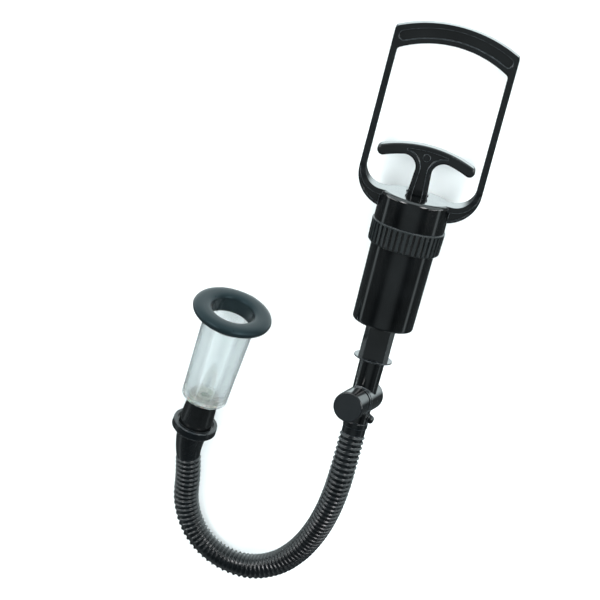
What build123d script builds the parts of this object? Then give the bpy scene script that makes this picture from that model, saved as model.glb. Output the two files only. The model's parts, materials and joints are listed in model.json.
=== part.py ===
"""Hand vacuum pump with a flexible hose and a clear cup, as separate pieces, in millimetres.

The row frame has +Z up and stands on z = 0. The pump lies on its back along +Y, on the rim of
its cap and the arch of its handle. The hose runs from its outlet round to the cup, which lies
on the rim of its soft sleeve.

Pump pieces are drawn upright, with z along the pump's axis, z = 0 at the cap's top face and the
front towards -y. Valve pieces share that frame, turned about the axis. Cup pieces are drawn
with z along the cup's axis, z = 0 at the middle of the sleeve's ring and +z out of the mouth.
"""

import os
from math import asin, atan2, cos, degrees, hypot, pi, radians, sin, sqrt, tan

from build123d import *

# --- where the pump and the cup lie, in the row frame ---
PUMP_X, PUMP_Y = 44.8, 54.5         # cap's top centre, in plan
CUP_X, CUP_Y = -59.6, -65.7         # centre of the sleeve's ring, in plan
CUP_HEADING = 4.7                   # degrees that the cup points to the right of +Y
VALVE_TURN = 15.5                   # degrees that the valve is turned on the outlet

# --- handle frame: cap and loop in one moulding ---
CAP_R, CAP_H, CAP_EDGE = 25.0, 21.0, 2.6
CAP_WALL = 3.2
SKIRT_R, SKIRT_BORE_R, SKIRT_END = 23.1, 20.5, -32.3
LOOP_HALF, RAIL_W = 43.5, 4.6
ARCH_CREST, ARCH_H = 121.0, 14.0
ARCH_OUTER_R, ARCH_INNER_R = 97.0, 77.0
LOOP_DEPTH, SADDLE_DEPTH = 9.0, 18.0
SADDLE_LOW, SADDLE_HIGH = 1.0, 17.0  # the loop narrows in depth between these heights
POCKET_H, POCKET_HALF, POCKET_DEEP = 7.0, 40.0, 3.0
WINDOW_CORNER_R, FOOT_BAND = 13.9, 3.8
LEG_R, LEG_RIM, LEG_X, LEG_Z = 24.8, 1.3, 18.7, 11.5
WEB_THICK = 5.0

# --- plunger ---
BAR_CREST, BAR_THICK, BAR_HALF, BAR_DEPTH = 36.0, 7.6, 34.6, 9.6
BAR_R = 80.0
STEM_W, STEM_D, STEM_FOOT = 13.6, 9.0, -75.4
NECK_W, NECK_Z, NECK_FILLET = 11.6, 18.0, 8.5
WALL, RECESS_HALF, RECESS_DEEP = 3.3, 14.5, 2.6
GUIDE_GAP = 0.08

# --- collar, barrel and what is in them ---
RING_R, RING_FOOT_R, RING_TOP, RING_END = 25.9, 25.4, -21.0, -37.5
RING_BORE_R, RING_LIP_R, RING_LIP = 23.2, 22.5, 2.5
RIBS, GROOVE_W, GROOVE_DEEP = 40, 1.9, 1.4
BARREL_TOP_R, BARREL_FOOT_R, BARREL_BORE_R = 22.3, 21.6, 19.8
BARREL_TOP, BARREL_END, BARREL_FLOOR = -33.3, -94.5, 4.0
BARREL_FLANGE_R, BARREL_FLANGE = 23.0, 1.7
PISTON_R, PISTON_TOP, PISTON_H = 19.3, -76.0, 12.0
SEAL_R, SEAL_H, SEAL_W = 19.75, 3.6, 2.4
SPRING_R, SPRING_WIRE, SPRING_TURNS = 11.6, 1.4, 10

# --- outlet block and quick-release valve ---
BLOCK_W, BLOCK_CHAMFER, BLOCK_END = 21.0, 3.0, -119.6
TENON_R, NIPPLE_R, NIPPLE_END, FLOW_R = 7.5, 5.5, -133.0, 2.5
FLANGE_R, FLANGE_T = 13.7, 1.0
TUBE_TOP_R, TUBE_FOOT_R = 9.0, 8.5
DRUM_Z, DRUM_R = -151.0, 10.7
BODY_BACK, BODY_FRONT, BODY_R = -15.8, 8.9, 10.6   # along the valve's axis, + to the front
NECK_R, NECK_FRONT = 8.3, 17.5
COLLAR_R, COLLAR_FRONT = 10.3, 11.1
BUTTON_BACK, BUTTON_FRONT, BUTTON_WALL, BUTTON_FACE = 14.5, 30.8, 1.9, 2.4
SPOOL_R, SPOOL_BORE_R, SPOOL_BACK = 3.9, 3.97, -9.2
SPOOL_GROOVES = (-7.6, 6.0)
LOWER_TUBE_R, LOWER_TUBE_END = 8.2, -167.6
BARB_R, BARB_END = 6.8, -175.0
VENT_Z, VENT_TURN = -162.6, 100

# --- hose and its cuffs ---
HOSE_R, HOSE_BORE_R = 9.3, 7.6
PUMP_CUFF_END, PUMP_CUFF_R = -177.0, 8.35
PUMP_LIP_R, PUMP_LIP_END = 8.85, -171.8
HOSE_LEAD = 23.7                     # straight run out of the pump's cuff
HOSE_TAIL = 16.0                     # straight run into the cup's cuff

# --- cup, from the middle of the sleeve's ring back along its axis ---
SLEEVE_R, SLEEVE_THICK, SLEEVE_BORE_R, MOUTH_EDGE = 28.9, 7.6, 15.5, 3.0
LINER_R, LINER_END = 16.3, -9.4
CUP_RIM_R, CUP_RIM = 22.5, 2.0
CUP_TOP_R, CUP_FOOT_R, CUP_WALL, CUP_END, CUP_BASE = 18.75, 16.6, 2.0, -74.5, 2.6
CUP_HOLE_R, GASKET = 3.5, 0.8
PLUG_TOP_R, PLUG_R, PLUG_SEAT, PLUG_NECK_R, PLUG_END = 11.0, 12.2, -98.0, 7.6, -109.0
CUFF_RIM_R, CUFF_RIM_TOP, CUFF_RIM_END = 16.5, -97.4, -104.5
CUFF_NECK_R, CUFF_END_R, CUFF_BORE_R = 11.4, 8.65, 6.9
CUFF_BEND_START, CUFF_LENGTH, CUFF_BEND = -109.2, 19.0, 16.0

# --- how the two halves rest on the ground: on the cap's rim and the arch, and on the sleeve ---
EDGE_Y, EDGE_Z = ARCH_CREST + CAP_EDGE, CAP_R - CAP_EDGE - LOOP_DEPTH / 2
PUMP_DROP = degrees(atan2(EDGE_Z, EDGE_Y) + asin(CAP_EDGE / hypot(EDGE_Y, EDGE_Z)))
PUMP_Z = ARCH_CREST * sin(radians(PUMP_DROP)) + LOOP_DEPTH / 2 * cos(radians(PUMP_DROP))
SLEEVE_EDGE_R = SLEEVE_THICK / 2
CUP_RISE = 6.6
CUP_Z = (SLEEVE_R - SLEEVE_EDGE_R) * cos(radians(CUP_RISE)) + SLEEVE_EDGE_R

# Where the hose lies between its straight ends, as corner points of its centreline.
HOSE_LAID = [
    (44.1, -168.4, 54.8), (41.4, -192.2, 48.6), (36.2, -215.2, 40.4), (27.9, -237.3, 31.8),
    (14.6, -257.2, 23.4), (-5.8, -270.3, 15.9), (-30.1, -269.7, 10.9), (-50.6, -255.1, 9.6),
    (-62.2, -232.5, 9.5),
]

PUMP = Pos(PUMP_X, PUMP_Y, PUMP_Z) * Rot(-90 - PUMP_DROP, 0, 0)
VALVE = PUMP * Rot(0, 0, -VALVE_TURN)
CUP = Pos(CUP_X, CUP_Y, CUP_Z) * Rot(0, 0, -CUP_HEADING) * Rot(-90 + CUP_RISE, 0, 0)

ALONG_Z = (Align.CENTER, Align.CENTER, Align.MIN)


def rod(radius, low, high):
    """A solid cylinder on the z axis, from low to high."""
    return Pos(0, 0, low) * Cylinder(radius, high - low, align=ALONG_Z)


def taper(low_radius, high_radius, low, high):
    """A cone frustum on the z axis, from low to high."""
    return Pos(0, 0, low) * Cone(low_radius, high_radius, high - low, align=ALONG_Z)


def tube(radius, bore, low, high):
    """A round tube on the z axis, from low to high."""
    return rod(radius, low, high) - rod(bore, low - 1, high + 1)


def slab(width, depth, low, high):
    """A rectangular bar on the z axis, from low to high."""
    return Pos(0, 0, low) * Box(width, depth, high - low, align=ALONG_Z)


def turned(*points):
    """A solid of revolution about z, from an outline of (radius, z) points."""
    outline = Polyline(*[(r, 0, z) for r, z in points], close=True)
    return revolve(make_face(outline), Axis.Z, 360)


def front_view(sketch, depth):
    """Extrudes a sketch drawn as (x, z) to a depth centred on the axis."""
    return extrude(Plane.XZ * sketch, depth / 2, both=True)


def coil(radius, wire, turns, low, high):
    """A closed-end compression spring of round wire on the z axis, between low and high."""
    height = high - low - wire
    path = Pos(0, 0, low + wire / 2) * Helix(height / turns, height, radius)
    section = Plane(path @ 0, z_dir=path % 0) * Circle(wire / 2)
    return sweep(section, path, is_frenet=True)


def sagitta(radius, x):
    """How far an arc of that radius has fallen at x from its crest."""
    return radius - sqrt(radius * radius - x * x)


# ---------------------------------------------------------------- handle frame

def loop_outline(half, crest, arch_r, bottom):
    """The closed outline of the loop's outside or of its window, down to bottom."""
    shoulder = crest - sagitta(arch_r, half)
    arch = ThreePointArc((-half, shoulder), (0, crest), (half, shoulder))
    sides = Polyline((half, shoulder), (half, bottom), (-half, bottom), (-half, shoulder))
    return make_face(arch + sides)


def leg(side, rim=0.0):
    """The region of one leg outside the window, inset by rim from its curved underside."""
    corner = Pos(side * (LOOP_HALF + LEG_X) / 2, (LEG_Z - CAP_H) / 2)
    quadrant = corner * Rectangle(LOOP_HALF - LEG_X, LEG_Z + CAP_H)
    return Pos(side * LEG_X, LEG_Z) * Circle(LEG_R - rim) & quadrant


def foot_band(side, radius):
    """The disc round a bottom corner of the window."""
    return Pos(side * (LOOP_HALF - RAIL_W - WINDOW_CORNER_R), WINDOW_CORNER_R) * Circle(radius)


def handle_frame():
    window = loop_outline(LOOP_HALF - RAIL_W, ARCH_CREST - ARCH_H, ARCH_INNER_R, 0)
    window = fillet(window.vertices().sort_by(Axis.Y)[:2], WINDOW_CORNER_R)
    window = fillet(window.vertices().sort_by(Axis.Y)[-2:], 3.5)
    outside = loop_outline(LOOP_HALF, ARCH_CREST, ARCH_OUTER_R, LEG_Z)
    outside = fillet(outside.vertices().sort_by(Axis.Y)[-2:], 2.5)
    reach = WINDOW_CORNER_R + FOOT_BAND
    inner_x = LOOP_HALF - RAIL_W - WINDOW_CORNER_R
    band = outside + Pos(0, -FOOT_BAND / 2) * Rectangle(2 * inner_x, FOOT_BAND)
    webs = leg(1) + leg(-1)
    band += (foot_band(1, reach) + foot_band(-1, reach)) & webs
    band -= window

    # In side view the loop widens towards the cap into a saddle.
    thin, wide = LOOP_DEPTH / 2, SADDLE_DEPTH / 2
    low, high = SADDLE_LOW, SADDLE_HIGH
    flank = Spline((wide, low), (thin, high), tangents=((0, 1), (0, 1)), tangent_scalars=(1, 1))
    other = Spline((-thin, high), (-wide, low), tangents=((0, -1), (0, -1)), tangent_scalars=(1, 1))
    top = Polyline((thin, high), (thin, ARCH_CREST + 1), (-thin, ARCH_CREST + 1), (-thin, high))
    foot = Polyline((-wide, low), (-wide, -CAP_H), (wide, -CAP_H), (wide, low))
    side_view = make_face(flank + top + other + foot)
    loop = front_view(band, SADDLE_DEPTH) & extrude(Plane.YZ * side_view, LOOP_HALF + 1, both=True)

    # Below the band each leg is a thin web with a rim along its underside.
    web = front_view(webs - window, LOOP_DEPTH)
    hollow = leg(1, LEG_RIM) + leg(-1, LEG_RIM)
    shift = WEB_THICK / 2
    for face in (1, -1):
        web -= extrude(Plane.XZ.offset(face * shift) * hollow, face * 10)
    loop += web

    # A long pocket runs along both faces of the arch.
    mid = ARCH_CREST - ARCH_H / 2
    reach = POCKET_HALF - POCKET_H / 2
    fall = sagitta(ARCH_INNER_R + ARCH_H / 2, reach)
    pocket = SlotArc(ThreePointArc((-reach, mid - fall), (0, mid), (reach, mid - fall)), POCKET_H)
    shift = LOOP_DEPTH / 2 - POCKET_DEEP
    for face in (1, -1):
        loop -= extrude(Plane.XZ.offset(face * shift) * pocket, face * 10)

    cap = rod(CAP_R, -CAP_H, 0)
    cap = fillet(cap.edges().sort_by(Axis.Z)[-1], CAP_EDGE)
    body = loop + cap + rod(SKIRT_R, SKIRT_END, -CAP_H)
    body -= rod(SKIRT_BORE_R, SKIRT_END - 1, -CAP_WALL)
    body += tube(14.0, 11.6, -9.0, -CAP_WALL)
    return body - slab(STEM_W + 1.0, STEM_D + 1.0, -CAP_WALL - 1, 1)


# ---------------------------------------------------------------- plunger

def t_outline(inset):
    """The bar and the part of the stem above the cap, drawn smaller by inset all round."""
    end = BAR_HALF - BAR_THICK / 2
    crest = BAR_CREST - BAR_THICK / 2
    fall = sagitta(BAR_R, end)
    spine = ThreePointArc((-end, crest - fall), (0, crest), (end, crest - fall))
    foot, neck = STEM_W / 2 - inset, NECK_W / 2 - inset
    right = [(foot, 3), (neck, NECK_Z), (neck, crest)]
    stem = Polyline(*right, *[(-x, z) for x, z in reversed(right)], close=True)
    outline = SlotArc(spine, BAR_THICK - 2 * inset) + make_face(stem)
    crotch = outline.vertices().filter_by(lambda v: abs(abs(v.X) - neck) < 0.01 and v.Y > NECK_Z + 1)
    return fillet(crotch, NECK_FILLET + inset)


def t_handle():
    head = front_view(t_outline(0), BAR_DEPTH)
    head = fillet(head.faces().filter_by(Axis.Y).edges(), 1.2)
    body = head + slab(STEM_W, STEM_D, -64, 4) + rod(6.0, STEM_FOOT, -64)
    body -= rod(1.6, STEM_FOOT - 1, STEM_FOOT + 14)

    # The recess on both faces runs from under the crest down the stem.
    middle = Pos(0, BAR_CREST / 2) * Rectangle(2 * RECESS_HALF, BAR_CREST + 1)
    channel = Pos(0, -26) * Rectangle(STEM_W - 2 * WALL, 60)
    recess = (t_outline(WALL) & middle) + channel
    shift = STEM_D / 2 - RECESS_DEEP
    for face in (1, -1):
        body -= extrude(Plane.XZ.offset(face * shift) * recess, face * 10)
        body += extrude(Plane.XZ.offset(face * shift) * (Pos(0, 27.6) * Circle(2.6)), face * 0.3)

    # Catches on the stem's edges, just above the cap.
    catch = make_face(Polyline((6.4, 0.2), (7.9, 1.5), (7.9, 2.3), (6.4, 3.4), close=True))
    lug = front_view(catch, 4.4)
    return body + lug + mirror(lug, Plane.YZ)


def rod_guide_bush():
    body = rod(11.55, -9.0, -CAP_WALL - 0.05) + rod(13.6, -10.6, -9.0)
    return body - slab(STEM_W + 2 * GUIDE_GAP, STEM_D + 2 * GUIDE_GAP, -12, 0)


def piston():
    foot = PISTON_TOP - PISTON_H
    groove = foot + PISTON_H / 2 - SEAL_H / 2
    body = rod(PISTON_R, foot, PISTON_TOP)
    body = chamfer(body.edges().filter_by(GeomType.CIRCLE), 0.6)
    body -= tube(PISTON_R + 1, SEAL_R - SEAL_W, groove, groove + SEAL_H)
    body -= rod(1.8, foot - 1, PISTON_TOP + 1) + rod(3.4, foot - 1, foot + 3)
    for k in range(4):
        body -= Rot(0, 0, 45 + 90 * k) * Pos(8.0, 0, 0) * rod(1.0, foot - 1, PISTON_TOP + 1)
    return body


def piston_seal():
    groove = PISTON_TOP - PISTON_H / 2 - SEAL_H / 2
    ring = tube(SEAL_R, SEAL_R - SEAL_W, groove, groove + SEAL_H)
    return fillet(ring.edges().filter_by(GeomType.CIRCLE).sort_by(SortBy.RADIUS)[-2:], 0.8)


def piston_valve_flap():
    return tube(9.6, 6.1, PISTON_TOP, PISTON_TOP + 0.6)


def piston_screw():
    foot = PISTON_TOP - PISTON_H
    body = rod(3.0, foot + 0.9, foot + 3) + rod(1.55, foot + 3, STEM_FOOT + 12)
    return body - slab(0.8, 4.2, foot, foot + 2)


def spring_washer():
    return tube(13.2, 10.0, PISTON_TOP, PISTON_TOP + 0.8)


def return_spring():
    return coil(SPRING_R, SPRING_WIRE, SPRING_TURNS, PISTON_TOP + 0.8, -10.6)


# ---------------------------------------------------------------- collar and barrel

def knurled_ring():
    body = turned(
        (RING_BORE_R, RING_END + RING_LIP), (RING_BORE_R, RING_TOP), (RING_R - 0.4, RING_TOP),
        (RING_R, RING_TOP - 0.4), (RING_FOOT_R, RING_END + 1.3), (RING_FOOT_R - 1.3, RING_END),
        (RING_LIP_R, RING_END), (RING_LIP_R, RING_END + RING_LIP),
    )
    for k in range(RIBS):
        cut = Pos(RING_R, 0, 0) * slab(2 * GROOVE_DEEP, GROOVE_W, RING_END - 1, RING_TOP - 1.2)
        body -= Rot(0, 0, (k + 0.5) * 360 / RIBS) * cut
    return body


def flange_gasket():
    return tube(22.9, 20.6, BARREL_TOP, SKIRT_END)


def barrel():
    neck = BARREL_TOP - BARREL_FLANGE
    body = taper(BARREL_FOOT_R, BARREL_TOP_R, BARREL_END, neck)
    body = fillet(body.edges().sort_by(Axis.Z)[0], 2.0)
    body += rod(BARREL_FLANGE_R, neck, BARREL_TOP)
    body -= rod(BARREL_BORE_R, BARREL_END + BARREL_FLOOR, BARREL_TOP + 1)
    return body - rod(TENON_R, BARREL_END - 1, BARREL_TOP)


# ---------------------------------------------------------------- outlet and check valve

def outlet_block():
    body = slab(BLOCK_W, BLOCK_W, BLOCK_END, BARREL_END)
    body = chamfer(body.edges().filter_by(Axis.Z), BLOCK_CHAMFER)
    body += rod(TENON_R - 0.05, BARREL_END, BARREL_END + BARREL_FLOOR)
    body += rod(NIPPLE_R, NIPPLE_END, BLOCK_END)
    body -= rod(5.6, BARREL_END - 4, BARREL_END + BARREL_FLOOR + 1)
    body -= rod(FLOW_R, NIPPLE_END - 1, BARREL_END)
    return body - tube(NIPPLE_R + 1, NIPPLE_R - 1.2, -128, -126)


def check_valve_seat():
    foot = BARREL_END - 4
    return tube(5.55, 2.0, foot, foot + 2.0)


def check_valve_disc():
    foot = BARREL_END - 2
    return rod(4.2, foot, foot + 1.0) + rod(1.0, foot + 1.0, foot + 2.6)


def check_valve_spring():
    foot = BARREL_END - 1
    return coil(2.0, 0.4, 3, foot, foot + 2.8)


def check_valve_cage():
    top = BARREL_END + BARREL_FLOOR
    body = tube(5.55, 4.6, BARREL_END - 2, top) + rod(4.7, BARREL_END + 1.8, BARREL_END + 2.8)
    body -= rod(1.3, BARREL_END, top)
    for k in range(4):
        body -= Rot(0, 0, 90 * k) * Pos(3.1, 0, 0) * rod(0.8, BARREL_END + 1, top)
    return body


def outlet_o_ring():
    return tube(NIPPLE_R + 0.15, NIPPLE_R - 1.2, -127.9, -126.1)


# ---------------------------------------------------------------- quick-release valve

def across(piece):
    """Turns a piece drawn along z so that it lies along the valve's own axis, + to the front."""
    return Pos(0, 0, DRUM_Z) * Rot(90, 0, 0) * piece


def valve_body():
    body = rod(FLANGE_R, BLOCK_END - FLANGE_T, BLOCK_END)
    body += taper(TUBE_FOOT_R, TUBE_TOP_R, DRUM_Z, BLOCK_END - FLANGE_T)
    drum = rod(BODY_R, BODY_BACK, BODY_FRONT)
    drum = fillet(drum.edges().sort_by(Axis.Z)[0], 0.8)
    body += across(drum + rod(NECK_R, BODY_FRONT, NECK_FRONT))
    body += rod(LOWER_TUBE_R, LOWER_TUBE_END, DRUM_Z) + rod(BARB_R, BARB_END, LOWER_TUBE_END)
    body += vent_axis() * rod(3.4, 0, 3.9)
    body -= rod(NIPPLE_R + 0.2, NIPPLE_END - 0.5, BLOCK_END + 1) + rod(FLOW_R, BARB_END - 1, BLOCK_END)
    body -= across(rod(SPOOL_BORE_R, BODY_BACK - 1, NECK_FRONT + 1))
    body -= across(rod(BODY_R - 2.5, BODY_BACK - 1, BODY_BACK + 2.4))
    body -= across(rod(6.6, NECK_FRONT - 5.5, NECK_FRONT + 1))
    body -= vent_axis() * rod(1.95, 1.0, 5)

    # The vent drilling joins the nipple to the spool's bore, behind the rear seal's place at rest.
    start, end = Vector(6.4, 0, VENT_Z - 0.2), Vector(3.2, 8.3, DRUM_Z - 2.4)
    return body - Plane(start, z_dir=end - start) * rod(0.6, 0, (end - start).length)


def valve_rear_cap():
    return across(rod(BODY_R - 2.5, BODY_BACK, BODY_BACK + 2.4))


def valve_collar():
    return across(tube(COLLAR_R, NECK_R, BODY_FRONT, COLLAR_FRONT))


def release_button():
    body = rod(DRUM_R, BUTTON_BACK, BUTTON_FRONT)
    body = fillet(body.edges().sort_by(Axis.Z)[-1], 0.9)
    body -= rod(DRUM_R - BUTTON_WALL, BUTTON_BACK - 1, BUTTON_FRONT - BUTTON_FACE)
    body += tube(3.9, 2.4, BUTTON_FRONT - 8, BUTTON_FRONT - BUTTON_FACE)
    return across(body)


def button_spool():
    neck = BUTTON_FRONT - 8
    body = rod(SPOOL_R, SPOOL_BACK, neck) + rod(2.4, neck, BUTTON_FRONT - BUTTON_FACE)
    body -= tube(SPOOL_R + 1, 1.8, -5.0, 4.6)
    for low in SPOOL_GROOVES:
        body -= tube(SPOOL_R + 1, SPOOL_R - 1.0, low, low + 1.4)
    return across(body)


def spool_o_ring_rear():
    return across(tube(SPOOL_R + 0.04, SPOOL_R - 1.0, SPOOL_GROOVES[0], SPOOL_GROOVES[0] + 1.4))


def spool_o_ring_front():
    return across(tube(SPOOL_R + 0.04, SPOOL_R - 1.0, SPOOL_GROOVES[1], SPOOL_GROOVES[1] + 1.4))


def button_spring():
    return across(coil(5.4, 0.8, 6, NECK_FRONT - 5.5 + 0.05, BUTTON_FRONT - BUTTON_FACE - 0.05))


def vent_axis():
    """The nipple's own axis: out to the right of the lower tube and a little down."""
    return Pos(5.0, 0, VENT_Z) * Rot(0, VENT_TURN, 0)


def vent_nipple():
    knob = rod(3.0, 3.9, 7.1)
    knob = fillet(knob.edges().sort_by(Axis.Z)[-1], 1.8)
    body = knob + rod(1.95, 1.0, 3.9)
    return vent_axis() * (body - rod(0.5, 0, 8))


# ---------------------------------------------------------------- hose

def cuff_bend(angle):
    """The plane across the cup's cuff where it has bent by this many degrees."""
    radius = CUFF_LENGTH / radians(CUFF_BEND)
    across_x = radius * (1 - cos(radians(angle)))
    down_z = CUFF_BEND_START - radius * sin(radians(angle))
    return Plane(CUP * Pos(across_x, 0, down_z) * Rot(0, -angle, 0))


def hose_route():
    """Corner points of the hose's centreline, from the pump's cuff to the cup's."""
    start = (PUMP * Pos(0, 0, PUMP_CUFF_END)).position
    lead = (PUMP * Pos(0, 0, PUMP_CUFF_END - HOSE_LEAD)).position
    end = cuff_bend(CUFF_BEND)
    tail = end.origin - end.z_dir * HOSE_TAIL
    laid = [Vector(*point) for point in HOSE_LAID]
    return [start, lead, *laid, tail, end.origin]


def corner_radii(points):
    """The largest arc that each corner's two runs allow."""
    radii = []
    for before, corner, after in zip(points, points[1:], points[2:]):
        turn = (corner - before).get_angle(after - corner)
        shorter = min((corner - before).length, (after - corner).length)
        radii.append(0.45 * shorter / tan(radians(turn) / 2))
    return radii


def hose():
    points = hose_route()
    radii = corner_radii(points)
    print("hose radii:", [round(r, 1) for r in radii])
    path = FilletPolyline(*points, radius=radii)
    section = Circle(HOSE_R) - Circle(HOSE_BORE_R)
    solid = sweep(Plane(path @ 0, z_dir=path % 0) * section, path)
    area = pi * (HOSE_R**2 - HOSE_BORE_R**2)
    ratio = solid.volume / (area * path.length)
    print("hose length", round(path.length, 1), "volume ratio", round(ratio, 4))
    return solid


def hose_pump_cuff():
    body = rod(PUMP_CUFF_R, PUMP_CUFF_END, PUMP_LIP_END)
    lip = rod(PUMP_LIP_R, PUMP_LIP_END, LOWER_TUBE_END)
    body += fillet(lip.edges().filter_by(GeomType.CIRCLE), 0.5)
    body -= rod(BARB_R, BARB_END, LOWER_TUBE_END + 1)
    return body - rod(BARB_R - 1.2, PUMP_CUFF_END - 1, BARB_END)


def cuff_shell(near_radius, far_radius, steps=3):
    """The bent, tapering lower part of the cup's cuff, solid, in the row frame."""
    rings = []
    for k in range(steps + 1):
        part = k / steps
        radius = near_radius + (far_radius - near_radius) * part
        rings.append(cuff_bend(CUFF_BEND * part) * Circle(radius))
    return loft(rings)


def hose_cup_cuff():
    join_r = 10.9
    collar = turned(
        (0, CUFF_BEND_START), (join_r, CUFF_BEND_START), (CUFF_NECK_R, CUFF_RIM_END - 0.8),
        (CUFF_RIM_R - 1.2, CUFF_RIM_END), (CUFF_RIM_R, CUFF_RIM_END + 1.4),
        (CUFF_RIM_R - 0.2, CUFF_RIM_TOP - 0.6), (CUFF_RIM_R - 0.8, CUFF_RIM_TOP), (0, CUFF_RIM_TOP),
    )
    collar -= rod(13.6, CUFF_RIM_TOP - 1.8, CUFF_RIM_TOP + 1)
    collar -= taper(PLUG_NECK_R, PLUG_R, PLUG_END, PLUG_SEAT) + rod(PLUG_R, PLUG_SEAT, CUFF_RIM_TOP)
    collar -= rod(CUFF_BORE_R, CUFF_BEND_START - 1, PLUG_SEAT)
    return CUP * collar + (cuff_shell(join_r, CUFF_END_R) - cuff_shell(CUFF_BORE_R, CUFF_BORE_R))


# ---------------------------------------------------------------- cup

def cup_connector():
    body = taper(PLUG_R, PLUG_TOP_R, PLUG_SEAT, CUP_END - GASKET)
    body += taper(PLUG_NECK_R, PLUG_R, PLUG_END, PLUG_SEAT)
    body += rod(CUP_HOLE_R - 0.05, CUP_END - GASKET, CUP_END + CUP_BASE / 2)
    return body - rod(FLOW_R, PLUG_END - 1, CUP_END + 10)


def connector_gasket():
    return tube(PLUG_TOP_R - 0.1, CUP_HOLE_R, CUP_END - GASKET, CUP_END)


def cup():
    rim_low = -SLEEVE_THICK / 2 - CUP_RIM
    body = taper(CUP_FOOT_R, CUP_TOP_R, CUP_END, rim_low)
    body = fillet(body.edges().sort_by(Axis.Z)[0], 0.8)
    body += rod(CUP_RIM_R, rim_low, rim_low + CUP_RIM)
    floor = CUP_END + CUP_BASE
    body -= taper(CUP_FOOT_R - CUP_WALL, CUP_TOP_R - CUP_WALL, floor, rim_low)
    body -= rod(CUP_TOP_R - CUP_WALL, rim_low - 0.01, rim_low + CUP_RIM + 1)
    body += tube(10.0, 8.6, floor, floor + 0.7) + tube(5.0, CUP_HOLE_R, floor, floor + 1.4)
    return body - rod(CUP_HOLE_R, CUP_END - 1, floor + 3)


def cup_sleeve():
    """A soft ring with a rounded outside, a rounded mouth and a thin liner into the cup."""
    half = SLEEVE_THICK / 2
    flat_r, mouth_r, mouth_z = SLEEVE_R - half, SLEEVE_BORE_R + MOUTH_EDGE, half - MOUTH_EDGE
    slack = MOUTH_EDGE * (1 - cos(radians(45)))
    bulge = ThreePointArc((flat_r, 0, -half), (SLEEVE_R, 0, 0), (flat_r, 0, half))
    face = Line((flat_r, 0, half), (mouth_r, 0, half))
    mouth = ThreePointArc(
        (mouth_r, 0, half), (SLEEVE_BORE_R + slack, 0, half - slack), (SLEEVE_BORE_R, 0, mouth_z)
    )
    liner = Polyline(
        (SLEEVE_BORE_R, 0, mouth_z), (SLEEVE_BORE_R, 0, LINER_END), (LINER_R, 0, LINER_END),
        (LINER_R, 0, -half), (flat_r, 0, -half),
    )
    return revolve(make_face(bulge + face + mouth + liner), Axis.Z, 360)


PIECES = {
    PUMP: [
        handle_frame, t_handle, rod_guide_bush, piston, piston_seal, piston_valve_flap, piston_screw,
        spring_washer, return_spring, knurled_ring, flange_gasket, barrel, outlet_block, outlet_o_ring,
        check_valve_seat, check_valve_disc, check_valve_spring, check_valve_cage, hose_pump_cuff,
    ],
    VALVE: [
        valve_body, valve_rear_cap, valve_collar, release_button, button_spool, spool_o_ring_rear,
        spool_o_ring_front, button_spring, vent_nipple,
    ],
    CUP: [cup_connector, connector_gasket, cup, cup_sleeve],
    Location(): [hose_cup_cuff, hose],
}

if __name__ == "__main__":
    os.makedirs("parts", exist_ok=True)
    for place, makers in PIECES.items():
        for maker in makers:
            export_step(place * maker(), f"parts/{maker.__name__}.step")
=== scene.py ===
"""The look of the hand vacuum pump: its hose, its soft sleeve, its springs and every material.

Lengths are in metres in the row frame, where the pump lies on its back along +Y.
"""

import json
from functools import cache
from math import cos, pi, radians, sin

import bpy
import numpy as np
from mathutils import Matrix, Vector


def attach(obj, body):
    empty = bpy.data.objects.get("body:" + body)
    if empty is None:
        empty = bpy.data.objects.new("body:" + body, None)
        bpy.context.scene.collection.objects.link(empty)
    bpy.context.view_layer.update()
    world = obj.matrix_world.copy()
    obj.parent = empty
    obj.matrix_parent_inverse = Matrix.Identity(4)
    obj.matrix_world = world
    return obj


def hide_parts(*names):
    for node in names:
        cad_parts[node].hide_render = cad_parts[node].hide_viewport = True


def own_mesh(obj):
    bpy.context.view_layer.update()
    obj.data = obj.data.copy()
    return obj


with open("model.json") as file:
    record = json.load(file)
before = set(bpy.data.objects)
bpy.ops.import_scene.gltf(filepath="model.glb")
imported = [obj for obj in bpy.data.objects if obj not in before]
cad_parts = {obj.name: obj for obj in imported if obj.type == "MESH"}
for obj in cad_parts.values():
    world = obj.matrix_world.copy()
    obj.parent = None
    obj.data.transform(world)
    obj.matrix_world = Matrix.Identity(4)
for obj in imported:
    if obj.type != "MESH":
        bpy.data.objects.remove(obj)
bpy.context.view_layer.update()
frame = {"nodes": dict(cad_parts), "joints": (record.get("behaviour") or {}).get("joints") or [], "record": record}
joints = {joint["name"]: joint for joint in frame["joints"]}
mounts = {mount["name"]: mount for mount in frame["record"]["mounts"]}
MM = 0.001

# --- camera, placed from the middle of the cap's top ---
CAP_TOP = Vector(joints["plunger_pull"]["pos_m"])
CAMERA_DISTANCE, CAMERA_LEAN = 1.8, radians(21.363)
AIM = Vector((-0.0153, -0.0420, 0.0300))
ROLL = radians(14.23)
LENS = 156.5
NEAREST, FARTHEST = 0.01, 50.0

# --- studio: how strong the light from a direction is, as (reach of the direction), (strengths) ---
STUDIO_TINT = (0.86, 0.98, 1.0)
WALL_LEAN = -0.2                    # the wall's foot follows Y - 0.2 Z, because the pump lies tilted
WALL = (-0.02, 0.22), (0.09, 1.9)
WALL_TOP = (0.45, 0.78), (1.0, 0.02)
PATCH = (0.80, 0.99), (0.0, 0.27)
HORIZON = (0.05, 0.12), (1.0, 0.0)
FLOOR_REACH = 6

# --- area lights, as place, size and watts; the strip and the key are measured from AIM ---
OVERHEAD = (0.0, 0.1, 2.2), (12.0, 12.0), 600.0
STRIP = (1.4, 0.1, 0.28), (0.10, 1.4), 4.0
KEY = (0.80, 0.60, 1.10), (0.45, 0.5), 9.0

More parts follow.
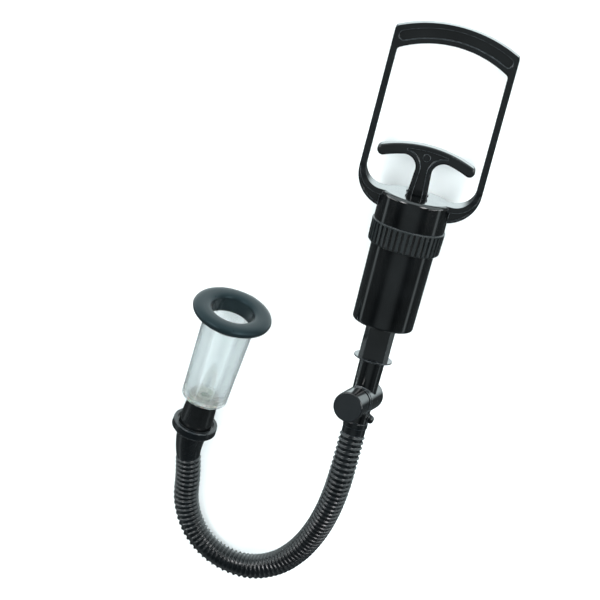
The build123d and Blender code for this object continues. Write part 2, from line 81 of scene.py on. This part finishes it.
# --- hose: corner points of its centreline, from the pump's cuff to the cup's ---
HOSE_ROUTE = [
    (0.0448, -0.1201, 0.0533), (0.0448, -0.1435, 0.0572), (0.0441, -0.1684, 0.0548),
    (0.0414, -0.1922, 0.0486), (0.0362, -0.2152, 0.0404), (0.0279, -0.2373, 0.0318),
    (0.0146, -0.2572, 0.0234), (-0.0058, -0.2703, 0.0159), (-0.0301, -0.2697, 0.0109),
    (-0.0506, -0.2551, 0.0096), (-0.0622, -0.2325, 0.0095), (-0.0642, -0.2082, 0.0123),
    (-0.0674, -0.1926, 0.0140),
]
HOSE_LENGTH, HOSE_R, HOSE_ROOT_R, HOSE_BORE_R = 0.2876, 9.3 * MM, 8.1 * MM, 7.5 * MM
HOSE_RINGS, STEPS_PER_RING, HOSE_SIDES = 74, 12, 40
CREST_SHARPNESS = 4                 # a higher power makes narrower rings
ROUTE_STEPS, ROUTE_ORDER = 24, 3    # points per stretch of the route, and its spline's order

# --- soft sleeve round the cup's mouth ---
SLEEVE_R, SLEEVE_BORE_R, SLEEVE_THICK = 28.9 * MM, 15.5 * MM, 7.6 * MM
LINER_R, LINER_END = 16.3 * MM, -9.4 * MM
MOUNT_STATION = -4.0 * MM           # where the record's mount lies on the sleeve's own axis
LINER_EASE, LINER_STEPS = 0.4 * MM, 6
SEAM_W, SEAM_H = 0.35 * MM, 0.08 * MM
SECTION_FROM, SECTION_SWEEP, SECTION_STEPS = radians(-123), radians(303), 96
OUTER_PLUMP, INNER_PLUMP = 2.3, 2.7  # 2 is an ellipse, more is squarer
SLEEVE_SIDES = 128

# --- knurled collar, measured from the pump's axis ---
GROOVE_FLOOR_R, RIB_R = 24.7 * MM, 25.3 * MM

# --- finishes ---
BEVEL_SAMPLES = 6
EDGE_MATCH, EDGE_TURNED = 0.995, 0.8  # rounded normal against the true one: open face, full edge
EDGE_HIGHLIGHT_GAIN = 9.0                        # how many times lighter the painted edge highlight is than the worn tone
EDGE_DULLING = 0.12                 # roughness that an edge gains
WAVE_DEPTH = 0.02 * MM


# ---------------------------------------------------------------- camera, floor and light

def make_camera():
    """The camera looks down at the pump from beyond its handle, rolled a little to the left."""
    eye = CAP_TOP + CAMERA_DISTANCE * Vector((0, sin(CAMERA_LEAN), cos(CAMERA_LEAN)))
    back = (eye - AIM).normalized()
    right = Vector((0, 1, 0)).cross(back).normalized()
    axes = Matrix((right, back.cross(right), back)).transposed()
    camera = bpy.data.objects.new("camera", bpy.data.cameras.new("camera"))
    camera.data.lens = LENS
    camera.data.clip_start, camera.data.clip_end = NEAREST, FARTHEST
    camera.matrix_world = Matrix.Translation(eye) @ (axes @ Matrix.Rotation(ROLL, 3, "Z")).to_4x4()
    bpy.context.scene.collection.objects.link(camera)
    bpy.context.scene.camera = camera


def make_softbox(name, place, size, watts, in_gloss=True):
    """A rectangular area light that faces the object, seen or not seen in its polish."""
    light = bpy.data.objects.new(name, bpy.data.lights.new(name, "AREA"))
    light.data.shape = "RECTANGLE"
    light.data.size, light.data.size_y = size
    light.data.energy = watts
    light.location = Vector(place)
    light.rotation_euler = (AIM - light.location).to_track_quat("-Z", "Y").to_euler()
    light.visible_glossy = in_gloss
    bpy.context.scene.collection.objects.link(light)


def make_softboxes():
    """A wide panel overhead that polish doesn't show, then a strip and a key on each side."""
    make_softbox("overhead", *OVERHEAD, in_gloss=False)
    for name, side in (("left", -1), ("right", 1)):
        for kind, (offset, size, watts) in (("strip", STRIP), ("key", KEY)):
            x, y, z = offset
            make_softbox(f"{kind}_{name}", AIM + Vector((x * side, y, z)), size, watts)


def make_world():
    """A dark studio: a white wall beyond the handle, a grey patch overhead and a pale horizon."""
    world = bpy.data.worlds.new("studio")
    world.use_nodes = True
    bpy.context.scene.world = world
    tree = world.node_tree
    place = add(tree, "ShaderNodeTexCoord").outputs["Generated"]
    place = add(tree, "ShaderNodeSeparateXYZ", {0: place}).outputs
    lean = calculate(tree, "MULTIPLY_ADD", place["Z"], WALL_LEAN, place["Y"])
    wall = fade(tree, lean, *WALL)
    below = fade(tree, place["Z"], *WALL_TOP)
    patch = fade(tree, place["Z"], *PATCH)
    light = calculate(tree, "MULTIPLY_ADD", wall, below, patch)
    horizon = fade(tree, calculate(tree, "ABSOLUTE", place["Z"]), *HORIZON)
    light = calculate(tree, "MAXIMUM", light, horizon)
    wire(tree, STUDIO_TINT, tree.nodes["Background"].inputs["Color"])
    wire(tree, light, tree.nodes["Background"].inputs["Strength"])


def make_floor():
    """A pale studio floor, large enough to reach past every view."""
    corners = [(x * FLOOR_REACH, y * FLOOR_REACH, 0) for x, y in ((-1, -1), (1, -1), (1, 1), (-1, 1))]
    floor = mesh_object("floor", corners, [(0, 1, 2, 3)])
    paper = Material("studio_paper")
    tone = paper.noise(3.0, 2.0)
    paper.set("Base Color", paper.blend(tone, (0.84, 0.90, 0.91), (0.87, 0.93, 0.94)))
    paper.set("Roughness", 0.9)
    floor.data.materials.append(paper.material)
    floor.visible_glossy = False    # kept out of the polish, as black cards do beside a real product


# ---------------------------------------------------------------- node building

def wire(tree, value, socket):
    """Links a socket, or sets a plain value."""
    if isinstance(value, bpy.types.NodeSocket):
        tree.links.new(value, socket)
    elif isinstance(value, tuple) and len(value) == 3 and socket.type == "RGBA":
        socket.default_value = (*value, 1.0)
    else:
        socket.default_value = value


def add(tree, kind, inputs=None, **settings):
    """A node of that kind, with its settings and its inputs."""
    node = tree.nodes.new(kind)
    for name, value in settings.items():
        setattr(node, name, value)
    for name, value in (inputs or {}).items():
        wire(tree, value, node.inputs[name])
    return node


def calculate(tree, kind, *values):
    """Arithmetic of that kind on the values."""
    return add(tree, "ShaderNodeMath", dict(enumerate(values)), operation=kind).outputs[0]


def remap(tree, value, reach, levels, **settings):
    """A change from one level to another over a reach of the value."""
    inputs = dict(zip(("From Min", "From Max", "To Min", "To Max"), (*reach, *levels)))
    return add(tree, "ShaderNodeMapRange", {"Value": value, **inputs}, **settings).outputs[0]


def fade(tree, value, reach, levels):
    """The same change, eased at both ends."""
    return remap(tree, value, reach, levels, interpolation_type="SMOOTHSTEP")


class Material:
    """A Principled material and the few kinds of node that every finish here is built from."""

    def __init__(self, name):
        self.material = bpy.data.materials.new(name)
        self.material.use_nodes = True
        self.tree = self.material.node_tree
        self.shader = self.tree.nodes["Principled BSDF"]
        self.place = self.add("ShaderNodeTexCoord").outputs["Object"]

    def add(self, kind, inputs=None, **settings):
        return add(self.tree, kind, inputs, **settings)

    def set(self, socket, value):
        wire(self.tree, value, self.shader.inputs[socket])

    def so_far(self, socket):
        """What feeds the shader's socket until now."""
        return self.shader.inputs[socket].links[0].from_socket

    def stretched(self, x, y, z):
        """Coordinates scaled unequally, for streaks."""
        return self.add("ShaderNodeMapping", {"Vector": self.place, "Scale": (x, y, z)}).outputs[0]

    def noise(self, scale, detail=3.0, place=None, distortion=0.0):
        """Noise in features of about 1/scale metres."""
        inputs = {"Scale": scale, "Detail": detail, "Distortion": distortion}
        inputs["Vector"] = place or self.place
        return self.add("ShaderNodeTexNoise", inputs).outputs["Fac"]

    def remap(self, value, low, high, out_low, out_high):
        return remap(self.tree, value, (low, high), (out_low, out_high))

    def math(self, kind, a, b):
        return calculate(self.tree, kind, a, b)

    def vector_math(self, kind, *values):
        return self.add("ShaderNodeVectorMath", dict(enumerate(values)), operation=kind).outputs

    def facing(self, direction):
        """1 where the surface faces along the direction, 0 where it is side on."""
        normal = self.add("ShaderNodeNewGeometry").outputs["Normal"]
        return self.vector_math("DOT_PRODUCT", direction, normal)["Value"]

    def blend(self, amount, a, b):
        node = self.add("ShaderNodeMix", data_type="RGBA")
        wire(self.tree, amount, node.inputs[0])
        wire(self.tree, a, node.inputs[6])
        wire(self.tree, b, node.inputs[7])
        return node.outputs[2]

    def rounded(self, radius):
        """The normal with every edge rounded by that radius."""
        return self.add("ShaderNodeBevel", {"Radius": radius}, samples=BEVEL_SAMPLES).outputs[0]

    def edges(self, rounded):
        """1 along edges, 0 on open surfaces."""
        return self.remap(self.facing(rounded), EDGE_MATCH, EDGE_TURNED, 0.0, 1.0)

    def bump(self, height, depth, normal=None):
        inputs = {"Height": height, "Distance": depth}
        if normal is not None:
            inputs["Normal"] = normal
        return self.add("ShaderNodeBump", inputs).outputs[0]


# ---------------------------------------------------------------- materials

def moulded(name, colour, worn, rough, edge=0.35 * MM, grain=0.006 * MM, smear=0.10, edge_highlight_amount=0.7):
    """Moulded plastic or rubber: cloudy tone, handling smears, fine grain, and edges painted lighter as a painted
    highlight.

    The last argument is how far an edge goes from its tone to the painted highlight.
    """
    m = Material(name)
    clouds = m.noise(45.0, 4.0)
    smears = m.noise(9.0, 5.0, m.stretched(6.0, 2.0, 6.0), 0.6)
    specks = m.noise(2600.0, 2.0)
    rounded = m.rounded(edge)
    edges = m.math("MULTIPLY", m.edges(rounded), m.remap(m.noise(380.0), 0.35, 0.7, 0.2, 1.0))
    tone = m.blend(m.remap(clouds, 0.3, 0.7, 0.0, 0.14), colour, worn)
    # painted highlight: edges are painted lighter than their tone, standing in for the polish catching light along
    # them
    edge_highlight = tuple(EDGE_HIGHLIGHT_GAIN * value for value in worn)
    m.set("Base Color", m.blend(m.math("MULTIPLY", edges, edge_highlight_amount), tone, edge_highlight))
    uneven = m.remap(smears, 0.35, 0.75, rough, rough + smear)
    m.set("Roughness", m.math("ADD", uneven, m.math("MULTIPLY", edges, EDGE_DULLING)))
    m.set("Normal", m.bump(specks, grain, m.bump(m.noise(120.0, 1.0), WAVE_DEPTH, rounded)))
    return m


def black_gloss():
    """Black ABS with a moulded polish and faint sink waves."""
    m = moulded("black_gloss", (0.0010, 0.0013, 0.0015), (0.016, 0.019, 0.021), 0.10, edge=0.6 * MM)
    m.set("IOR", 1.52)
    m.set("Coat Weight", 0.35)
    m.set("Coat Roughness", 0.08)
    return m


def black_satin():
    """The same black ABS on the cup's connector, which is handled and so duller."""
    m = moulded("black_satin", (0.0014, 0.0018, 0.0020), (0.022, 0.026, 0.028), 0.20, grain=0.012 * MM)
    m.set("IOR", 1.50)
    return m


def collar_satin():
    """The knurled collar: dull, with its ribs painted lighter than the grooves, a painted highlight on the ribs
    and painted shade in the grooves.
    """
    dark, worn = (0.0008, 0.0010, 0.0011), (0.020, 0.024, 0.026)
    m = moulded("collar_satin", dark, worn, 0.24, grain=0.012 * MM, edge_highlight_amount=0.25)
    pull = joints["plunger_pull"]
    offset = m.vector_math("SUBTRACT", m.place, tuple(pull["pos_m"]))[0]
    turned = m.vector_math("CROSS_PRODUCT", offset, tuple(pull["axis"]))[0]
    radius = m.vector_math("LENGTH", turned)["Value"]
    # painted highlight and shade: colour lightens with distance from the pump's axis, so ribs are lighter than the
    # grooves
    rib_highlight = m.remap(radius, GROOVE_FLOOR_R, RIB_R, 0.0, 0.8)
    m.set("Base Color", m.blend(rib_highlight, m.so_far("Base Color"), (0.010, 0.013, 0.014)))
    return m


def button_satin():
    """The button: a polished rim round a blue-black satin face."""
    m = moulded("button_satin", (0.0012, 0.0016, 0.0020), (0.020, 0.024, 0.028), 0.11, grain=0.012 * MM)
    outward = -Vector(joints["button_press"]["axis"])
    face = m.remap(m.facing(tuple(outward)), 0.93, 0.99, 0.0, 1.0)
    polish = m.so_far("Roughness")
    tone = m.so_far("Base Color")
    m.set("Roughness", m.math("ADD", polish, m.math("MULTIPLY", face, 0.20)))
    m.set("Base Color", m.blend(m.math("MULTIPLY", face, 0.6), tone, (0.0055, 0.0080, 0.0095)))
    m.set("IOR", 1.50)
    return m


def hose_pvc():
    """Soft extruded vinyl: blue-black and satin."""
    dark, worn = (0.0010, 0.0016, 0.0020), (0.014, 0.019, 0.023)
    m = moulded("hose_pvc", dark, worn, 0.19, edge=0.5 * MM, grain=0.02 * MM)
    m.set("IOR", 1.53)
    m.set("Sheen Weight", 0.02)
    m.set("Sheen Roughness", 0.4)
    return m


def sleeve_rubber():
    """Soft silicone with a bloom on it."""
    dark, worn = (0.0030, 0.0062, 0.0074), (0.016, 0.028, 0.033)
    m = moulded("sleeve_rubber", dark, worn, 0.27, edge=0.6 * MM, grain=0.03 * MM)
    m.set("IOR", 1.42)
    m.set("Specular IOR Level", 0.30)
    m.set("Specular Tint", (0.62, 0.90, 1.0))
    m.set("Sheen Weight", 0.04)
    m.set("Sheen Roughness", 0.5)
    return m


def rubber_seal():
    """Plain moulded nitrile."""
    dark, worn = (0.010, 0.010, 0.011), (0.03, 0.03, 0.03)
    return moulded("rubber_seal", dark, worn, 0.50, grain=0.02 * MM, edge_highlight_amount=0.3)


def natural_nylon():
    """Unpainted nylon, waxy and a little translucent."""
    m = moulded("natural_nylon", (0.70, 0.67, 0.59), (0.82, 0.80, 0.74), 0.40, grain=0.01 * MM, edge_highlight_amount=0.0)
    m.set("Subsurface Weight", 0.15)
    m.set("Subsurface Scale", 0.002)
    return m


def steel():
    """Bright wire and turned steel, with drawing marks."""
    m = Material("steel")
    marks = m.noise(1.0, 3.0, m.stretched(2400.0, 300.0, 2400.0))
    stain = m.noise(160.0, 4.0)
    m.set("Metallic", 1.0)
    stained = m.remap(stain, 0.4, 0.75, 0.0, 0.5)
    m.set("Base Color", m.blend(stained, (0.60, 0.61, 0.62), (0.42, 0.41, 0.39)))
    m.set("Roughness", m.remap(marks, 0.3, 0.7, 0.20, 0.38))
    m.set("Normal", m.bump(marks, 0.008 * MM))
    return m


def clear_cup():
    """Clear moulded plastic: thin to look through, with painted shade that makes it darker, cooler and more opaque
    where it is seen edge on and along its edges.
    """
    m = Material("clear_cup")
    flow = m.noise(1.0, 3.0, m.stretched(260.0, 22.0, 260.0), 0.4)
    smears = m.noise(60.0, 4.0, distortion=0.5)
    rounded = m.rounded(0.4 * MM)
    facing = m.add("ShaderNodeLayerWeight", {"Blend": 0.35, "Normal": rounded}).outputs["Facing"]
    # painted shade: where the cup is seen edge on and along its edges, the colour turns a dark cool blue-grey and
    # the alpha rises
    edge_on_shade = m.remap(facing, 0.40, 0.95, 0.0, 0.9)
    rim_shade = m.math("MAXIMUM", edge_on_shade, m.math("MULTIPLY", m.edges(rounded), 0.9))
    clear = m.blend(smears, (0.78, 0.83, 0.835), (0.84, 0.88, 0.885))
    m.set("Base Color", m.blend(rim_shade, clear, (0.10, 0.14, 0.18)))
    m.set("Alpha", m.math("MAXIMUM", m.remap(facing, 0.15, 0.85, 0.50, 0.95), rim_shade))
    m.set("Roughness", m.remap(smears, 0.5, 0.8, 0.015, 0.07))
    m.set("Transmission Weight", 1.0)
    m.set("IOR", 1.47)
    m.set("Normal", m.bump(flow, 0.035 * MM, rounded))
    return m


@cache
def material_of(make):
    """A finish's material, made once for all the pieces that have it."""
    return make().material


def dress(finishes):
    """Gives every CAD node its finish."""
    for make, nodes in finishes.items():
        for node in nodes:
            slots = frame["nodes"][node].data.materials
            slots.clear()
            slots.append(material_of(make))


# ---------------------------------------------------------------- pieces

def mesh_object(name, points, faces, smooth=False):
    """A new mesh object in the scene."""
    mesh = bpy.data.meshes.new(name)
    mesh.from_pydata([tuple(p) for p in points], [], faces)
    mesh.polygons.foreach_set("use_smooth", [smooth] * len(mesh.polygons))
    thing = bpy.data.objects.new(name, mesh)
    bpy.context.scene.collection.objects.link(thing)
    return thing


def ring_of_quads(rows, columns):
    """Faces that join a grid of points closed both ways round."""
    faces = []
    for i in range(rows):
        for j in range(columns):
            here, down, over = i * columns, (i + 1) % rows * columns, (j + 1) % columns
            faces.append((here + j, here + over, down + over, down + j))
    return faces


def follow(route):
    """Points along the smooth spline that has the route as its control points."""
    curve = bpy.data.curves.new("route", "CURVE")
    curve.dimensions = "3D"
    curve.resolution_u = ROUTE_STEPS
    spline = curve.splines.new("NURBS")
    spline.points.add(len(route) - 1)
    for point, place in zip(spline.points, route):
        point.co = (*place, 1.0)
    spline.order_u = ROUTE_ORDER
    spline.use_endpoint_u = True
    holder = bpy.data.objects.new("route", curve)
    line = bpy.data.meshes.new_from_object(holder)
    points = np.array([v.co for v in line.vertices], float)
    bpy.data.objects.remove(holder)
    bpy.data.curves.remove(curve)
    bpy.data.meshes.remove(line)
    return points


def carried_frames(points):
    """Distance along a line of points, and two directions across it that don't twist."""
    steps = np.diff(points, axis=0)
    along = np.concatenate([[0], np.cumsum(np.linalg.norm(steps, axis=1))])
    ahead = np.gradient(points, along, axis=0)
    ahead /= np.linalg.norm(ahead, axis=1)[:, None]
    side = np.cross(ahead[0], (1.0, 0.0, 0.0))
    sides = []
    for direction in ahead:
        side = side - direction * side.dot(direction)
        side = side / np.linalg.norm(side)
        sides.append(side)
    sides = np.array(sides)
    return along, sides, np.cross(ahead, sides)


def hose_profile(length):
    """(distance, radius) pairs: out along the ringed outside, back along the plain bore."""
    count = HOSE_RINGS * STEPS_PER_RING
    profile = []
    for k in range(count + 1):
        crest = (0.5 - 0.5 * cos(2 * pi * k / STEPS_PER_RING)) ** CREST_SHARPNESS
        profile.append((length * k / count, HOSE_ROOT_R + (HOSE_R - HOSE_ROOT_R) * crest))
    back = HOSE_RINGS               # the bore needs only one step to a ring
    return profile + [(length * (back - k) / back, HOSE_BORE_R) for k in range(back + 1)]


def make_hose():
    """The ringed hose, swept along its route."""
    points = follow(HOSE_ROUTE)
    along, sides, ups = carried_frames(points)
    profile = np.array(hose_profile(along[-1]))
    at = profile[:, 0]
    middle, side, up = (
        np.stack([np.interp(at, along, values[:, axis]) for axis in range(3)], axis=1)
        for values in (points, sides, ups)
    )
    turns = np.arange(HOSE_SIDES) * 2 * pi / HOSE_SIDES
    spokes = side[:, None] * np.cos(turns)[None, :, None] + up[:, None] * np.sin(turns)[None, :, None]
    skin = middle[:, None] + spokes * profile[:, 1][:, None, None]
    faces = ring_of_quads(len(profile), HOSE_SIDES)
    hose = mesh_object("ringed_hose", skin.reshape(-1, 3), faces, smooth=True)
    hose.data.materials.append(material_of(hose_pvc))
    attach(hose, "pump_body")
    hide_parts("hose")


def sleeve_profile():
    """(radius, height) pairs round the sleeve's section: a plump ring with a thin liner below."""
    middle, half_w = (SLEEVE_R + SLEEVE_BORE_R) / 2, (SLEEVE_R - SLEEVE_BORE_R) / 2
    half_h = SLEEVE_THICK / 2
    profile = []
    for k in range(SECTION_STEPS + 1):
        turn = SECTION_FROM + SECTION_SWEEP * k / SECTION_STEPS
        x, z = cos(turn), sin(turn)
        plump = OUTER_PLUMP if x > 0 else INNER_PLUMP
        reach = (abs(x) ** plump + abs(z) ** plump) ** (-1 / plump)
        seam = SEAM_H * max(0.0, 1 - (abs(z) * half_h / SEAM_W) ** 2) if x > 0 else 0.0
        profile.append((middle + x * reach * (half_w - SEAM_H) + seam, z * reach * half_h))
    foot = profile[0][1]
    profile += [(SLEEVE_BORE_R, LINER_END * k / LINER_STEPS) for k in range(1, LINER_STEPS + 1)]
    profile += [(LINER_R, LINER_END), (LINER_R, foot - LINER_EASE), (LINER_R + LINER_EASE, foot)]
    return profile


def make_sleeve():
    """The soft sleeve, turned about the cup's axis."""
    mount = mounts["sleeve_bore"]
    axis = Vector(mount["axis"]).normalized()
    middle = Vector(mount["pos_m"]) - axis * MOUNT_STATION
    place = Matrix.Translation(middle) @ axis.to_track_quat("Z", "Y").to_matrix().to_4x4()
    profile = sleeve_profile()
    points = []
    for radius, height in profile:
        for k in range(SLEEVE_SIDES):
            turn = 2 * pi * k / SLEEVE_SIDES
            points.append(place @ Vector((radius * cos(turn), radius * sin(turn), height)))
    faces = ring_of_quads(len(profile), SLEEVE_SIDES)
    sleeve = mesh_object("soft_sleeve", points, faces, smooth=True)
    sleeve.data.materials.append(material_of(sleeve_rubber))
    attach(sleeve, "pump_body")
    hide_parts("cup_sleeve")


def make_spring(node):
    """A steel copy of the coil, carried by the pump's body in place of the CAD node."""
    source = frame["nodes"][node]
    coil = bpy.data.objects.new(node + "_coil", source.data.copy())
    bpy.context.scene.collection.objects.link(coil)
    coil.data.materials.clear()
    coil.data.materials.append(material_of(steel))
    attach(coil, "pump_body")
    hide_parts(node)
    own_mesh(coil)


make_camera()
make_hose()
make_sleeve()
make_spring("return_spring")
make_spring("button_spring")
make_spring("check_valve_spring")
dress({
    black_gloss: [
        "handle_frame", "t_handle", "barrel", "outlet_block", "valve_body", "valve_collar",
        "valve_rear_cap", "vent_nipple", "piston",
    ],
    black_satin: ["cup_connector"],
    collar_satin: ["knurled_ring"],
    button_satin: ["release_button"],
    hose_pvc: ["hose_pump_cuff", "hose_cup_cuff", "hose"],
    rubber_seal: [
        "flange_gasket", "outlet_o_ring", "piston_seal", "piston_valve_flap", "spool_o_ring_rear",
        "spool_o_ring_front", "check_valve_disc",
    ],
    natural_nylon: [
        "rod_guide_bush", "spring_washer", "button_spool", "check_valve_seat", "check_valve_cage",
        "connector_gasket",
    ],
    steel: ["piston_screw", "return_spring", "button_spring", "check_valve_spring"],
    sleeve_rubber: ["cup_sleeve"],
    clear_cup: ["cup"],
})
make_floor()
make_world()
make_softboxes()
bpy.context.scene.view_settings.view_transform = "Standard"
